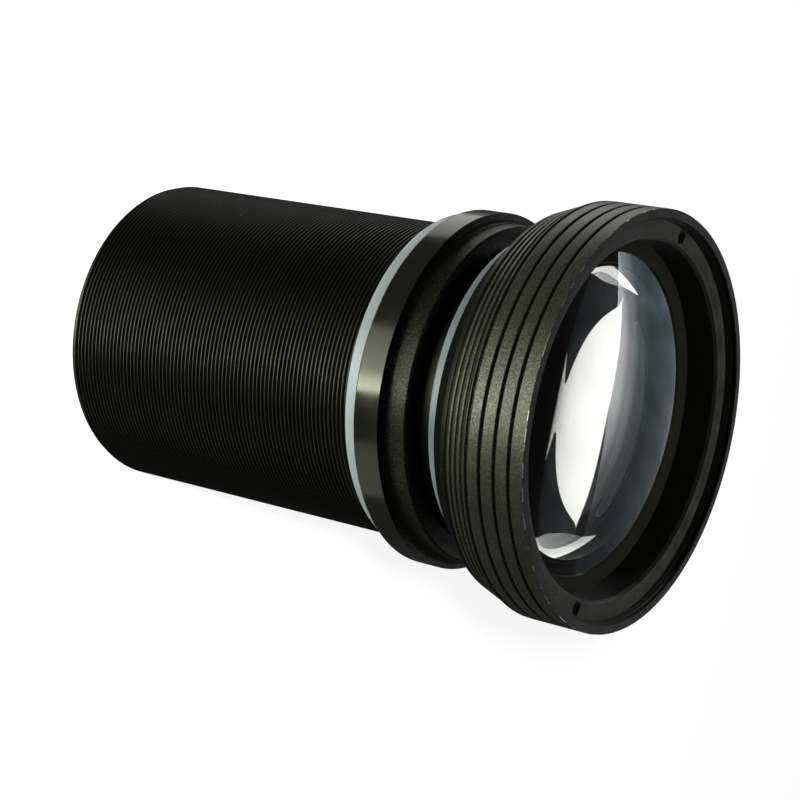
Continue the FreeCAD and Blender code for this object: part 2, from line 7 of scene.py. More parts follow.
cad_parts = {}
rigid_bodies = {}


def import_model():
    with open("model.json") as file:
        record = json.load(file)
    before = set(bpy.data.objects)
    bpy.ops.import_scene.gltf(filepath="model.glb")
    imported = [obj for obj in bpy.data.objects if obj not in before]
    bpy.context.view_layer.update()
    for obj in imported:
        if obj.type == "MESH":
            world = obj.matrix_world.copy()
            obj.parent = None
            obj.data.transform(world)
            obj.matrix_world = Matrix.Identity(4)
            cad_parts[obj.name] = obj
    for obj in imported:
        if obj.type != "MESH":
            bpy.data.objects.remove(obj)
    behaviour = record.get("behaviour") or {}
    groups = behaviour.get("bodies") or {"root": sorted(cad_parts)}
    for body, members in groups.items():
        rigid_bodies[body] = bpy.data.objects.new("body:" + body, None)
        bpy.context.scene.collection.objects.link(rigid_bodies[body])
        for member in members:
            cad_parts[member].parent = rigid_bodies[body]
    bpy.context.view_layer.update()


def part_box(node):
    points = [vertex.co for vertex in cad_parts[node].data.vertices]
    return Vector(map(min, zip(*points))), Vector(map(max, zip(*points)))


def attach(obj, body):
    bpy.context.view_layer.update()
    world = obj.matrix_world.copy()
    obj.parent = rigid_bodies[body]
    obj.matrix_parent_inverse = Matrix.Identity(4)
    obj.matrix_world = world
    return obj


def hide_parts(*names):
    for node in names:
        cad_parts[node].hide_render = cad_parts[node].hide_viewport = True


# Projection lens standing on its rear end. Sections are (radius, height) in
# millimetres, in the frame of the CAD model, and are turned about +Z.

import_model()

MM = 0.001
AROUND = 192

# Driving sizes of the barrel and the head

BARREL_RADIUS = 32.5
BARREL_BORE = 29.6
THREAD_DEPTH = 0.55
THREAD_PITCH = 1.0
FLANGE_RADIUS = 36.4
FLANGE_BACK = 78.1
FLANGE_TOP = 84.1
COLLAR_RADIUS = 34.3
COLLAR_TOP = 89.1
COVE_RADIUS = 1.4
RELIEF_RADIUS = 31.8
NECK_RADIUS = 30.5
NECK_BORE = 27.9
NECK_END = 58.0
WEB_TOP = 54.0
WEB_BACK = 51.0
WEB_BORE = 27.2
HEAD_BACK = 96.0
HEAD_BACK_RADIUS = 34.8
SHOULDER_TOP = 100.2
SHOULDER_RADIUS = 38.8
HEAD_RADIUS = 41.5
CYLINDER_START = 107.7
RIM = 120.0
RIM_THREAD_RADIUS = 39.5
RIM_THREAD_PITCH = 0.75
THREAD_FLOOR = 109.4
FINE_GROOVES = 5
FINE_GROOVE_WIDTH = 0.9
FINE_GROOVE_DEPTH = 0.4
WIDE_GROOVE_HEIGHTS = (110.6, 113.75, 116.9)
WIDE_GROOVE_WIDTH = 0.8
WIDE_GROOVE_DEPTH = 0.5
WASHER_OFFSET = 0.5
WASHER_CLEARANCE = 0.6
REAR_WASHER_WIDTH = 1.7
FRONT_WASHER_WIDTH = 1.5

# Front glass and rings

FRONT_SEAT = 35.05
FRONT_LENS_RADIUS = 35.0
FRONT_LENS_CURVE = 103.2
FRONT_RING_BORE = 35.3
SPANNER_CIRCLE = 37.5
SPANNER_HOLE = 1.25
SPANNER_DEPTH = 4.0
SLOT_WIDTH = 2.5
SLOT_DEPTH = 1.5
CLAMP_BORE = 32.0
CLAMP_CLEARANCE = 0.3
SECOND_SEAT = 28.95
SECOND_LENS_RADIUS = 28.9
SECOND_FRONT_CURVE = 67.0
SECOND_BACK_CURVE = 48.5
SECOND_CLEAR_RADIUS = 27.4
NECK_GLASS = 27.85
NECK_RING_WIDTH = 2.9
FRONT_SPACER_WALL = 0.6
MIDDLE_SPACER_WALL = 0.55
SPACER_FOOT = 1.9
# Arcs of the front spacer's foot painted white: painted light where bright patches show through the
# glass.
PAINTED_LIGHT_ARCS = ((-29.0, 20.0), (-185.0, -129.0))
THIRD_BEVEL_OUTER = 27.3
THIRD_BEVEL_MIDDLE = 26.3
THIRD_BEVEL_INNER = 25.2
THIRD_FRONT_POLE = 2.9
THIRD_BACK_CURVE = 60.0
THIRD_BACK_REACH = 24.0
THIRD_THICKNESS = 3.5

# Rear cell

CELL_BORE = 27.0
CELL_GLASS = 26.95
CELL_LEDGE = 24.5
CELL_LEDGE_THICKNESS = 2.0
CELL_RING_WIDTH = 2.8
LOCK_RING_WIDTH = 3.6
REAR_SPACER_WALL = 2.45
STOP_BORE = 17.0
DOUBLET_CURVE = 55.0
FIFTH_BACK_CURVE = 75.0
REAR_LENS_CURVE = 60.0
CEMENT = 0.01


# Sections


def heights(node):
    """Lowest and highest point of a CAD node, in millimetres."""
    low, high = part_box(node)
    return low[2] / MM, high[2] / MM


def sagitta(curve, reach):
    return curve - math.sqrt(curve * curve - reach * reach)


def dome(curve, reach, pole, falling, steps=24):
    """Points of a spherical surface from the axis out to its reach."""
    sign = -1 if falling else 1
    points = []
    for step in range(steps + 1):
        radius = reach * step / steps
        points.append((radius, pole + sign * sagitta(curve, radius)))
    return points


def soften(section, cut=0.15, turn=20):
    """Round every real corner of a section with a small curve."""
    softened = []
    count = len(section)
    for index, corner in enumerate(section):
        here = Vector(corner)
        before = Vector(section[index - 1]) - here
        after = Vector(section[(index + 1) % count]) - here
        if corner[0] < 0.01 or math.degrees(math.pi - before.angle(after)) < turn:
            softened.append(corner)
            continue
        first = here + before.normalized() * min(cut, before.length * 0.35)
        last = here + after.normalized() * min(cut, after.length * 0.35)
        middle = here * 0.5 + (first + last) * 0.25
        softened += [tuple(first), tuple(middle), tuple(last)]
    return softened


def groove(radius, height, width, depth, slope=0.0):
    """The three corners of a groove in a surface that widens by slope upwards."""
    half = width / 2
    return [
        (radius - half * slope, height - half),
        (radius - depth, height),
        (radius + half * slope, height + half),
    ]


# Meshes


def make_mesh(name, corners, faces):
    """A smooth-shaded object from corners in millimetres."""
    mesh = bpy.data.meshes.new(name)
    mesh.from_pydata([Vector(corner) * MM for corner in corners], [], faces)
    mesh.validate()
    mesh.polygons.foreach_set("use_smooth", [True] * len(mesh.polygons))
    mesh.set_sharp_from_angle(angle=math.radians(50))
    piece = bpy.data.objects.new(name, mesh)
    bpy.context.scene.collection.objects.link(piece)
    return piece


def weigh_normals(piece):
    """Keep flat faces flat beside their rounded edges."""
    modifier = piece.modifiers.new("flat_faces", "WEIGHTED_NORMAL")
    modifier.keep_sharp = True
    modifier.weight = 100


def lathe(name, section, around=AROUND):
    """A closed piece turned from a section that runs anticlockwise."""
    corners = []
    rings = []
    for radius, height in section:
        first = len(corners)
        if radius < 1e-6:
            corners.append((0, 0, height))
            rings.append([first] * around)
            continue
        for step in range(around):
            angle = 2 * math.pi * step / around
            corners.append((radius * math.cos(angle), radius * math.sin(angle), height))
        rings.append(list(range(first, first + around)))
    faces = []
    for lower, upper in zip(rings, rings[1:] + rings[:1]):
        for step in range(around):
            after = (step + 1) % around
            loop = [lower[step], lower[after], upper[after], upper[step]]
            face = list(dict.fromkeys(loop))
            if len(face) > 2:
                faces.append(face)
    piece = make_mesh(name, corners, faces)
    weigh_normals(piece)
    return piece


def helix(name, root, crest, pitch, bottom, top, steps=160):
    """A screw thread's ridge, wound between two heights."""
    turns = (top - bottom) / pitch - 1
    sections = int(turns * steps)
    corners = []
    for step in range(sections + 1):
        angle = 2 * math.pi * step / steps
        middle = bottom + pitch * (0.5 + step / steps)
        fade = min(1.0, step / 20, (sections - step) / 20)
        height = root + (crest - root) * fade
        for radius, along in ((root, -0.45), (height, -0.09), (height, 0.09), (root, 0.45)):
            place = (radius * math.cos(angle), radius * math.sin(angle), middle + along * pitch)
            corners.append(place)
    faces = []
    for step in range(sections):
        first = 4 * step
        for side in range(4):
            after = (side + 1) % 4
            faces.append((first + side, first + after, first + 4 + after, first + 4 + side))
    faces.append((3, 2, 1, 0))
    last = 4 * sections
    faces.append((last, last + 1, last + 2, last + 3))
    if crest > root:
        faces = [tuple(reversed(face)) for face in faces]
    return make_mesh(name, corners, faces)


def drill(piece, corners, faces):
    """Take a closed shape, given in millimetres, out of a piece."""
    tool = make_mesh("tool", corners, faces)
    cut = piece.modifiers.new("cut", "BOOLEAN")
    cut.operation = "DIFFERENCE"
    cut.solver = "EXACT"
    cut.object = tool
    bpy.context.view_layer.update()
    shaped = piece.evaluated_get(bpy.context.evaluated_depsgraph_get())
    mesh = bpy.data.meshes.new_from_object(shaped)
    piece.modifiers.clear()
    piece.data = mesh
    bpy.data.objects.remove(tool)
    mesh.set_sharp_from_angle(angle=math.radians(50))
    weigh_normals(piece)


def cut_holes(piece, radius, circle, bottom, top, around=32):
    """Drill two facing holes parallel to the axis."""
    for side in (1, -1):
        corners = []
        for height in (bottom, top):
            for step in range(around):
                angle = 2 * math.pi * step / around
                across = side * circle + radius * math.cos(angle)
                corners.append((across, radius * math.sin(angle), height))
        faces = [tuple(reversed(range(around))), tuple(range(around, 2 * around))]
        for step in range(around):
            after = (step + 1) % around
            faces.append((step, after, around + after, around + step))
        drill(piece, corners, faces)


def cut_slots(piece, width, depth, bottom, inner, outer):
    """Mill two facing spanner slots across a ring's rear face."""
    half = width / 2
    for side in (1, -1):
        corners = []
        for height in (bottom - depth, bottom + depth):
            for across, along in ((inner, -half), (outer, -half), (outer, half), (inner, half)):
                corners.append((side * across, side * along, height))
        faces = [(3, 2, 1, 0), (4, 5, 6, 7), (0, 1, 5, 4), (1, 2, 6, 5), (2, 3, 7, 6), (3, 0, 4, 7)]
        drill(piece, corners, faces)


# Materials


def new_material(name):
    material = bpy.data.materials.new(name)
    material.use_nodes = True
    return material, material.node_tree.nodes, material.node_tree.links


def noise(nodes, links, scale, detail=2.0):
    """A noise pattern fixed to the object."""
    place = nodes.new("ShaderNodeTexCoord")
    pattern = nodes.new("ShaderNodeTexNoise")
    pattern.inputs["Scale"].default_value = scale
    pattern.inputs["Detail"].default_value = detail
    links.new(place.outputs["Object"], pattern.inputs["Vector"])
    return pattern.outputs["Fac"]


def spread(nodes, links, source, low, high, start=0.3, end=0.7):
    """Map a pattern to a range of values."""
    band = nodes.new("ShaderNodeMapRange")
    band.inputs["From Min"].default_value = start
    band.inputs["From Max"].default_value = end
    band.inputs["To Min"].default_value = low
    band.inputs["To Max"].default_value = high
    links.new(source, band.inputs["Value"])
    return band.outputs["Result"]


def blend(nodes, links, factor, first, second):
    """Mix two colours by a pattern; the first may be another blend."""
    mix = nodes.new("ShaderNodeMix")
    mix.data_type = "RGBA"
    links.new(factor, mix.inputs["Factor"])
    first_colour, second_colour = mix.inputs[6:8]
    if isinstance(first, tuple):
        first_colour.default_value = (*first, 1)
    else:
        links.new(first, first_colour)
    second_colour.default_value = (*second, 1)
    return mix.outputs[2]


def anodised(name, dark, light, rough, grain, grain_depth, specular=0.5, sparkle=0.0):
    """Black anodised aluminium with a blasted grain, painted glints and a few dust specks."""
    material, nodes, links = new_material(name)
    shader = nodes["Principled BSDF"]
    shader.inputs["Specular Tint"].default_value = (0.97, 1.0, 0.76, 1)
    cloud = noise(nodes, links, 90, 4)
    tone = blend(nodes, links, spread(nodes, links, cloud, 0, 1), dark, light)
    fine = noise(nodes, links, grain, 2)
    uneven = 0.9 * sparkle
    gloss = spread(nodes, links, fine, specular * (1 - uneven), specular * (1 + uneven), 0.38, 0.62)
    links.new(gloss, shader.inputs["Specular IOR Level"])
    # Painted glints: lighter dots in the colour that stand in for the sparkle of light on the
    # grain.
    painted_glint = spread(nodes, links, fine, 0, 0.5 * sparkle, 0.55, 0.75)
    tone = blend(nodes, links, painted_glint, tone, (0.22, 0.22, 0.17))
    speck = spread(nodes, links, noise(nodes, links, 900, 1), 0, 0.25, 0.79, 0.82)
    tone = blend(nodes, links, speck, tone, (0.35, 0.36, 0.33))
    links.new(tone, shader.inputs["Base Color"])
    worn = noise(nodes, links, 260, 3)
    links.new(spread(nodes, links, worn, rough - 0.05, rough + 0.05), shader.inputs["Roughness"])
    bump = nodes.new("ShaderNodeBump")
    bump.inputs["Strength"].default_value = 1.0
    bump.inputs["Distance"].default_value = grain_depth
    links.new(fine, bump.inputs["Height"])
    links.new(bump.outputs["Normal"], shader.inputs["Normal"])
    return material


def worn_metal(name):
    """An edge where the black has rubbed through to bare metal here and there."""
    material, nodes, links = new_material(name)
    shader = nodes["Principled BSDF"]
    worn = spread(nodes, links, noise(nodes, links, 420, 5), 0, 1, 0.52, 0.60)
    tone = blend(nodes, links, worn, (0.030, 0.032, 0.024), (0.75, 0.75, 0.70))
    links.new(tone, shader.inputs["Base Color"])
    links.new(worn, shader.inputs["Metallic"])
    links.new(spread(nodes, links, worn, 0.45, 0.30, 0, 1), shader.inputs["Roughness"])
    return material


def plastic(name, dark, light):
    """Pale translucent washer plastic."""
    material, nodes, links = new_material(name)
    shader = nodes["Principled BSDF"]
    cloud = noise(nodes, links, 120, 3)
    tone = blend(nodes, links, spread(nodes, links, cloud, 0, 1), dark, light)
    links.new(tone, shader.inputs["Base Color"])
    links.new(spread(nodes, links, cloud, 0.3, 0.42), shader.inputs["Roughness"])
    shader.inputs["Subsurface Weight"].default_value = 0.4
    shader.inputs["Subsurface Radius"].default_value = (0.002, 0.002, 0.002)
    return material


def clear_glass(name, colour):
    """Polished coated lens glass."""
    material, nodes, links = new_material(name)
    shader = nodes["Principled BSDF"]
    shader.inputs["Base Color"].default_value = (*colour, 1)
    shader.inputs["Transmission Weight"].default_value = 1.0
    shader.inputs["Roughness"].default_value = 0.0
    shader.inputs["IOR"].default_value = 1.52
    return material


def painted_light_milky(name):
    """A milky white, painted on the front spacer's foot as patches of light."""
    material, nodes, links = new_material(name)
    shader = nodes["Principled BSDF"]
    cloud = noise(nodes, links, 400, 3)
    milky = spread(nodes, links, cloud, 0, 1)
    tone = blend(nodes, links, milky, (0.72, 0.75, 0.72), (0.86, 0.88, 0.84))
    links.new(tone, shader.inputs["Base Color"])
    links.new(spread(nodes, links, cloud, 0.5, 0.65), shader.inputs["Roughness"])
    return material


def polished_rim(name):
    """The polished bevel of a glass element, silvered by total reflection."""
    material, nodes, links = new_material(name)
    shader = nodes["Principled BSDF"]
    cloud = noise(nodes, links, 150, 3)
    bright = spread(nodes, links, cloud, 0, 1)
    tone = blend(nodes, links, bright, (0.86, 0.87, 0.83), (0.97, 0.98, 0.95))
    links.new(tone, shader.inputs["Base Color"])
    links.new(spread(nodes, links, cloud, 0.02, 0.06), shader.inputs["Roughness"])
    shader.inputs["Metallic"].default_value = 1.0
    return material


barrel_black = anodised(
    "barrel_black", (0.008, 0.008, 0.007), (0.014, 0.014, 0.012),
    rough=0.42, grain=3000, grain_depth=4e-6, specular=0.4,
)
flange_black = anodised(
    "flange_black", (0.012, 0.013, 0.010), (0.018, 0.019, 0.014),
    rough=0.17, grain=2500, grain_depth=1e-6, specular=0.6,
)
head_olive = anodised(
    "head_olive", (0.028, 0.031, 0.019), (0.042, 0.046, 0.029),
    rough=0.38, grain=3000, grain_depth=5e-5, specular=0.75, sparkle=0.4,
)
# A darker copy of the olive: painted shade on the flange's front face, the cove, the collar and the
# floors of the head's fine grooves.
painted_shade_olive = anodised(
    "painted_shade_olive", (0.006, 0.007, 0.004), (0.010, 0.011, 0.007),
    rough=0.40, grain=3000, grain_depth=4e-5, specular=0.28, sparkle=0.4,
)
ring_olive = anodised(
    "ring_olive", (0.024, 0.027, 0.017), (0.034, 0.037, 0.024),
    rough=0.46, grain=3000, grain_depth=3e-5, specular=0.5, sparkle=0.3,
)
# A far lighter olive than the other rings: painted light on the glass clamp ring.
painted_light_olive = anodised(
    "painted_light_olive", (0.110, 0.125, 0.075), (0.150, 0.165, 0.100),
    rough=0.34, grain=3000, grain_depth=3e-6, specular=0.5, sparkle=0.3,
)
inner_black = anodised(
    "inner_black", (0.003, 0.004, 0.003), (0.006, 0.007, 0.005),
    rough=0.40, grain=3000, grain_depth=3e-6, specular=0.3,
)
neck_blue = anodised(
    "neck_blue", (0.030, 0.045, 0.052), (0.045, 0.062, 0.070),
    rough=0.40, grain=3000, grain_depth=3e-6, specular=0.5,
)
# A lighter olive: a painted highlight on the chamfer of the front ring's bore.
painted_highlight_edge = anodised(
    "painted_highlight_edge", (0.10, 0.105, 0.085), (0.14, 0.145, 0.115),
    rough=0.30, grain=3000, grain_depth=3e-6,
)
worn_edge = worn_metal("worn_edge")
washer_clear = plastic("washer_clear", (0.52, 0.59, 0.60), (0.68, 0.74, 0.75))
# A darker copy of the washer plastic: painted shade on the front washer under the head.
washer_painted_shade = plastic("washer_painted_shade", (0.25, 0.29, 0.31), (0.34, 0.38, 0.40))
lens_clear = clear_glass("lens_clear", (1.0, 1.0, 1.0))
foot_painted_light = painted_light_milky("foot_painted_light")
silver_rim = polished_rim("silver_rim")


# Placing


def finish_piece(piece, node, materials, pick=None):
    """Dress a piece, and let it stand for its CAD node."""
    for material in materials:
        piece.data.materials.append(material)
    if pick:
        for polygon in piece.data.polygons:
            radius = math.hypot(polygon.center.x, polygon.center.y) / MM
            polygon.material_index = pick(radius, polygon.center.z / MM, polygon.normal)
    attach(piece, "root")
    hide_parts(node)


# Barrel and thread


def make_barrel():
    cove = []
    for step in range(7):
        angle = math.radians(90 * step / 6)
        cove.append((COLLAR_RADIUS + COVE_RADIUS * (1 - math.sin(angle)),
                     FLANGE_TOP + COVE_RADIUS * (1 - math.cos(angle))))
    relief_bottom = heights("rear_washer")[0] - 0.3
    thread_root = BARREL_RADIUS - THREAD_DEPTH
    section = soften([
        (BARREL_BORE, 0),
        (thread_root, 0),
        (thread_root, relief_bottom - 0.4),
        (RELIEF_RADIUS, relief_bottom),
        (RELIEF_RADIUS, FLANGE_BACK),
        (FLANGE_RADIUS - 0.5, FLANGE_BACK),
        (FLANGE_RADIUS, FLANGE_BACK + 0.5),
        (FLANGE_RADIUS, FLANGE_TOP),
        *cove,
        (COLLAR_RADIUS, COLLAR_TOP - 0.4),
        (COLLAR_RADIUS - 0.4, COLLAR_TOP),
        (NECK_RADIUS, COLLAR_TOP),
        (NECK_RADIUS, WEB_TOP),
        (WEB_BORE, WEB_TOP),
        (WEB_BORE, WEB_BACK),
        (BARREL_BORE, WEB_BACK),
    ])
    barrel = lathe("barrel", section)

    def pick(radius, height, normal):
        outside = math.hypot(normal.x, normal.y) > 0.5 and radius > RELIEF_RADIUS
        if radius > COLLAR_RADIUS + 0.2 and height < FLANGE_TOP - 0.05 and outside:
            return 1
        # The flange's front face, the cove and the collar take the darker olive: painted shade.
        if radius > NECK_RADIUS + 0.1 and height > FLANGE_BACK - 0.1:
            return 2
        return 0

    coats = [barrel_black, flange_black, painted_shade_olive]
    finish_piece(barrel, "main_barrel", coats, pick)
    thread = helix("barrel_thread", thread_root - 0.05, BARREL_RADIUS, THREAD_PITCH,
                   0.5, relief_bottom - 0.2)
    finish_piece(thread, "main_barrel", [barrel_black])


# Head


def make_head():
    slope = (HEAD_RADIUS - SHOULDER_RADIUS) / (CYLINDER_START - SHOULDER_TOP)
    outside = [(HEAD_BACK_RADIUS, HEAD_BACK), (SHOULDER_RADIUS, SHOULDER_TOP)]
    for index in range(1, FINE_GROOVES + 1):
        share = index / FINE_GROOVES
        radius = SHOULDER_RADIUS + (HEAD_RADIUS - SHOULDER_RADIUS) * share
        height = SHOULDER_TOP + (CYLINDER_START - SHOULDER_TOP) * share
        lean = slope if index < FINE_GROOVES else 0.0
        outside += groove(radius, height, FINE_GROOVE_WIDTH, FINE_GROOVE_DEPTH, lean)
    for height in WIDE_GROOVE_HEIGHTS:
        outside += groove(HEAD_RADIUS, height, WIDE_GROOVE_WIDTH, WIDE_GROOVE_DEPTH)
    front_back = heights("front_lens")[0]
    ledge = heights("second_lens")[0] + sagitta(SECOND_BACK_CURVE, NECK_BORE)
    section = soften([
        (NECK_BORE, NECK_END),
        (NECK_RADIUS, NECK_END),
        (NECK_RADIUS, HEAD_BACK),
        *outside,
        (HEAD_RADIUS, RIM),
        (RIM_THREAD_RADIUS + 0.3, RIM),
        (RIM_THREAD_RADIUS, RIM - 0.3),
        (RIM_THREAD_RADIUS, THREAD_FLOOR),
        (FRONT_SEAT, THREAD_FLOOR),
        (FRONT_SEAT, front_back),
        (SECOND_SEAT, front_back),
        (SECOND_SEAT, ledge),
        (NECK_BORE, ledge),
    ], 0.12)
    head = lathe("head", section, 256)

    def pick(radius, height, normal):
        if abs(height - front_back) < 0.05:
            return 0
        if radius < RIM_THREAD_RADIUS + 0.05 and height > HEAD_BACK:
            return 1
        if height < HEAD_BACK + 0.05 and radius < HEAD_BACK_RADIUS:
            return 1
        if radius > HEAD_RADIUS - 0.2 and height > RIM - 0.2:
            return 3
        # The floors of the fine grooves take the darker olive: painted shade.
        surface = min(HEAD_RADIUS, SHOULDER_RADIUS + slope * (height - SHOULDER_TOP))
        if height > SHOULDER_TOP and SHOULDER_RADIUS - 0.8 < radius < surface - 0.1:
            return 4
        if height < SHOULDER_TOP - 0.1:
            return 2
        return 0

    coats = [head_olive, inner_black, flange_black, worn_edge, painted_shade_olive]
    finish_piece(head, "front_head", coats, pick)
    thread_bottom = heights("front_retaining_ring")[1] - 1.2
    thread = helix("rim_thread", RIM_THREAD_RADIUS + 0.02, RIM_THREAD_RADIUS - 0.3,
                   RIM_THREAD_PITCH, thread_bottom, RIM - 0.1)
    finish_piece(thread, "front_head", [ring_olive])


# Rings, spacers and washers


def make_ring(node, bore, radius, material, sideways=0.0, bevels=(), cut=0.12, around=AROUND):
    """A plain turned ring between the heights of its CAD node."""
    bottom, top = heights(node)
    corners = [(bore, bottom), (radius, bottom), (radius, top), (bore, top)]
    section = []
    for index, corner in enumerate(corners):
        bevel = dict(bevels).get(index, 0.0)
        if not bevel:
            section.append(corner)
            continue
        here = Vector(corner)
        before = (Vector(corners[index - 1]) - here).normalized()
        after = (Vector(corners[(index + 1) % 4]) - here).normalized()
        section += [tuple(here + before * bevel), tuple(here + after * bevel)]
    ring = lathe(node.replace("_", "-"), soften(section, cut), around)
    for vertex in ring.data.vertices:
        vertex.co.x += sideways * MM
    finish_piece(ring, node, [material])
    return ring


def make_front_spacer():
    """The thin spacer of the front glass, with white arcs painted at its foot as patches of light.
    """
    bottom, top = heights("front_spacer")
    foot = bottom + SPACER_FOOT
    bore = SECOND_LENS_RADIUS - FRONT_SPACER_WALL
    spacer = lathe("front-spacer", soften([
        (bore, bottom),
        (SECOND_LENS_RADIUS, bottom),
        (SECOND_LENS_RADIUS, top),
        (bore, top),
        (bore, foot),
    ], 0.05))
    finish_piece(spacer, "front_spacer", [inner_black, foot_painted_light])
    for polygon in spacer.data.polygons:
        centre = polygon.center / MM
        angle = math.degrees(math.atan2(centre.y, centre.x))
        # White arcs at the foot: painted light where bright patches show.
        bare = any((angle - start) % 360 < finish - start for start, finish in PAINTED_LIGHT_ARCS)
        if bare and centre.z < foot and math.hypot(centre.x, centre.y) < bore + 0.1:
            polygon.material_index = 1


def make_washers():
    bore = BARREL_RADIUS + WASHER_CLEARANCE
    make_ring("rear_washer", bore, bore + REAR_WASHER_WIDTH, washer_clear,
              WASHER_OFFSET, [(1, 0.5)], 0.3)
    bore = NECK_RADIUS + WASHER_CLEARANCE
    # The front washer takes the darker plastic: painted shade.
    make_ring("front_washer", bore, bore + FRONT_WASHER_WIDTH, washer_painted_shade,
              WASHER_OFFSET, [(1, 0.6)], 0.3)


def make_front_ring():
    """The front ring with its spanner holes and a painted highlight on the edge of its bore."""
    ring = make_ring("front_retaining_ring", FRONT_RING_BORE, RIM_THREAD_RADIUS,
                     ring_olive, 0.0, [(3, 0.6)], 0.1, 256)
    top = heights("front_retaining_ring")[1]
    cut_holes(ring, SPANNER_HOLE, SPANNER_CIRCLE, top - SPANNER_DEPTH, top + 1)
    ring.data.materials.append(painted_highlight_edge)
    # The bore's chamfer takes the lighter olive: a painted highlight.
    for polygon in ring.data.polygons:
        centre = polygon.center / MM
        reach = math.hypot(centre.x, centre.y)
        if reach < FRONT_RING_BORE + 0.6 and top - 0.55 < centre.z < top - 0.02:
            polygon.material_index = 1


def make_slotted_rings():
    """The rings behind the glass, each with two spanner slots."""
    for node, width, radius in (
        ("neck_retaining_ring", NECK_RING_WIDTH, NECK_BORE),
        ("rear_retaining_ring", CELL_RING_WIDTH, CELL_BORE),
        ("cell_lock_ring", LOCK_RING_WIDTH, BARREL_BORE),
    ):
        bore = radius - width
        ring = make_ring(node, bore, radius, inner_black)
        cut_slots(ring, SLOT_WIDTH, SLOT_DEPTH, heights(node)[0], bore - 2, radius + 2)


def make_rings():
    make_washers()
    make_front_ring()
    # The glass clamp ring takes the lighter olive: painted light.
    make_ring("glass_clamp_ring", CLAMP_BORE, RIM_THREAD_RADIUS - CLAMP_CLEARANCE,
              painted_light_olive)
    make_front_spacer()
    make_ring("middle_spacer", NECK_GLASS - MIDDLE_SPACER_WALL, NECK_GLASS,
              neck_blue, around=3 * AROUND)
    make_slotted_rings()
    make_ring("stop_ring", STOP_BORE, BARREL_BORE, inner_black, 0.0, [(0, 0.8)])
    make_ring("rear_spacer", CELL_GLASS - REAR_SPACER_WALL, CELL_GLASS, inner_black)


def make_cell():
    bottom, top = heights("rear_cell")
    cell = lathe("rear-cell", soften([
        (CELL_BORE, bottom),
        (BARREL_BORE, bottom),
        (BARREL_BORE, top),
        (CELL_LEDGE, top),
        (CELL_LEDGE, top - CELL_LEDGE_THICKNESS),
        (CELL_BORE, top - CELL_LEDGE_THICKNESS),
    ]))
    finish_piece(cell, "rear_cell", [inner_black])


# Glass


def make_lens(node, section, around=AROUND, rim=None, on_rim=None):
    """A glass element with polished faces, a blackened side and perhaps a bright rim."""
    lens = lathe(node.replace("_", "-"), section, around)
    lens.modifiers.clear()
    lens.data.set_sharp_from_angle(angle=math.radians(15))
    edge = max(radius for radius, height in section)

    def pick(radius, height, normal):
        if math.hypot(normal.x, normal.y) > 0.9 and radius > edge - 0.2:
            return 1
        if on_rim and on_rim(radius, normal):
            return 2
        return 0

    finish_piece(lens, node, [lens_clear, inner_black, rim or inner_black], pick)


def make_lenses():
    back, front = heights("front_lens")
    face = dome(FRONT_LENS_CURVE, FRONT_LENS_RADIUS, front, True, 40)
    make_lens("front_lens", [(0, back), (FRONT_LENS_RADIUS, back), *reversed(face)])

    back, front = heights("second_lens")
    rear = dome(SECOND_BACK_CURVE, SECOND_LENS_RADIUS, back, False, 40)
    face = dome(SECOND_FRONT_CURVE, SECOND_LENS_RADIUS, front, True, 40)
    make_lens("second_lens", [*rear, *reversed(face)], AROUND, inner_black,
              lambda radius, normal: radius > SECOND_CLEAR_RADIUS and normal.z < 0)

    bottom, top = heights("third_lens")
    pole = top - THIRD_FRONT_POLE
    bevel_middle = top - (THIRD_BEVEL_OUTER - THIRD_BEVEL_MIDDLE)
    bevel_inner = bevel_middle - 0.9 * (THIRD_BEVEL_MIDDLE - THIRD_BEVEL_INNER)
    hollow = bevel_inner - pole
    curve = (THIRD_BEVEL_INNER ** 2 + hollow ** 2) / (2 * hollow)
    rear = dome(THIRD_BACK_CURVE, THIRD_BACK_REACH, pole - THIRD_THICKNESS, True)
    face = dome(curve, THIRD_BEVEL_INNER, pole, False)
    bevel = [(THIRD_BEVEL_OUTER, top), (THIRD_BEVEL_MIDDLE, bevel_middle)]
    section = [*rear, (NECK_GLASS, bottom), (NECK_GLASS, top), *bevel, *reversed(face)]
    make_lens("third_lens", section, 3 * AROUND, silver_rim,
              lambda radius, normal: radius > THIRD_BEVEL_INNER and normal.z > 0.1)

    bottom, top = heights("fourth_lens")
    pole = bottom + sagitta(DOUBLET_CURVE, CELL_GLASS)
    rear = dome(DOUBLET_CURVE, CELL_GLASS, pole, True)
    make_lens("fourth_lens", [*rear, (CELL_GLASS, top), (0, top)])

    back, front = heights("fifth_lens")
    rear = dome(FIFTH_BACK_CURVE, CELL_GLASS, back, False)
    face = dome(DOUBLET_CURVE, CELL_GLASS, front - CEMENT, True)
    make_lens("fifth_lens", [*rear, *reversed(face)])

    back, front = heights("rear_lens")
    face = dome(REAR_LENS_CURVE, CELL_GLASS, front, True)
    make_lens("rear_lens", [(0, back), (CELL_GLASS, back), *reversed(face)])


make_barrel()
make_head()
make_rings()
make_cell()
make_lenses()


# Camera

CAMERA_TARGET = Vector((-4.9, -0.7, 64.2)) * MM
CAMERA_DISTANCE = 434.6 * MM
CAMERA_AZIMUTH = math.radians(98.59)
CAMERA_ELEVATION = math.radians(34.38)
CAMERA_ROLL = math.radians(-101.74)
CAMERA_LENS = 94.4
SENSOR_WIDTH = 36

